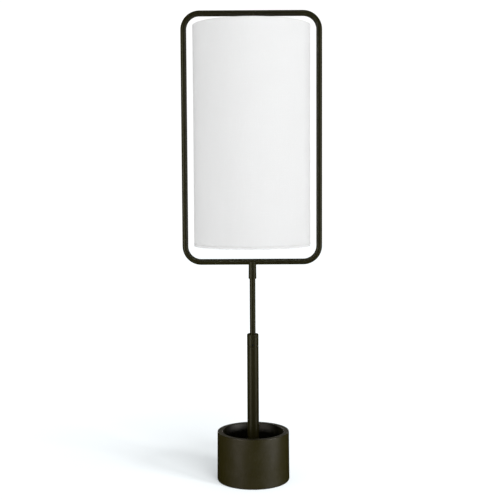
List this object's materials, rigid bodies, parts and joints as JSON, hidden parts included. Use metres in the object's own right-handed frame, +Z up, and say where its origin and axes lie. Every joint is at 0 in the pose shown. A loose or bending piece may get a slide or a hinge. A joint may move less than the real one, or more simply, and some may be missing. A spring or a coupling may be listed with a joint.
{
  "type": "table lamp",
  "caption": "Table lamp: a drum shade hung inside a rounded rectangular frame of bent tube, on a telescopic stem standing in an open cylindrical pot.",
  "frame": {"origin": "middle of the foot's underside, on the surface the lamp stands on", "axes": "+Z up along the stem, +X to the lamp's right in the plane of the tube frame, -Y to the front; the cord inlet is at the back, +Y"},
  "size_m": [0.2378, 0.198, 0.8],
  "materials": {
    "bronze": "satin",
    "iron": "matte",
    "zinc": "satin",
    "black_steel": "satin",
    "felt": "matte",
    "black_plastic": "matte",
    "key_plastic": "gloss",
    "white_plastic": "satin",
    "lead_pvc": "satin",
    "brass": "satin",
    "card": "matte",
    "cap_metal": "satin",
    "tip_glass": "gloss",
    "bulb_frost": "satin",
    "white_wire": "gloss",
    "shade_cloth": "matte",
    "shade_styrene": "satin"
  },
  "bodies": {
    "base": {"base_pot": "bronze", "base_weight": "iron", "cover_plate": "zinc", "cover_screws": "zinc", "felt_pad": "felt", "cord_bushing": "black_plastic", "terminal_block": "white_plastic", "lower_pipe": "zinc", "foot_nut": "zinc", "foot_washer": "zinc", "foot_plug": "zinc", "lower_tube": "bronze", "tube_cap": "bronze", "guide_bush": "white_plastic", "clamp_screw": "black_steel", "lead_base": "lead_pvc", "lead_coil": "lead_pvc"},
    "mast": {"upper_rod": "bronze", "rod_stop": "white_plastic", "lead_rod": "lead_pvc"},
    "head": {"low_hub": "bronze", "hub_screw": "black_steel", "swivel_washer": "white_plastic", "frame_left": "bronze", "frame_right": "bronze", "top_hub": "bronze", "top_pipe": "zinc", "lead_frame": "lead_pvc", "lead_cores": "lead_pvc", "holder_dome": "brass", "holder_shell": "brass", "holder_liner": "card", "holder_core": "black_plastic", "thread_shell": "brass", "centre_contact": "brass", "terminal_screws": "brass", "bulb_cap": "cap_metal", "bulb_tip": "tip_glass", "bulb_glass": "bulb_frost", "shade_spider": "white_wire", "shade_bottom_ring": "white_wire", "shade_fabric": "shade_cloth", "shade_liner": "shade_styrene", "shade_hem_top": "shade_cloth", "shade_hem_bottom": "shade_cloth"},
    "switch": {"switch_spindle": "brass", "switch_key": "key_plastic"}
  },
  "joints": [
    {"name": "stem_height", "type": "slide", "parent": "base", "child": "mast", "axis": [0, 0, 1], "range_m": [-0.0941, 0.05], "deforming": ["lead_coil"]},
    {"name": "head_swivel", "type": "hinge", "parent": "mast", "child": "head", "pos_m": [0, 0, 0.3486], "axis": [0, 0, 1], "range_deg": [-150, 150]},
    {"name": "switch_turn", "type": "hinge", "parent": "head", "child": "switch", "pos_m": [0.0178, 0, 0.733], "axis": [1, 0, 0], "continuous": true}
  ]
}
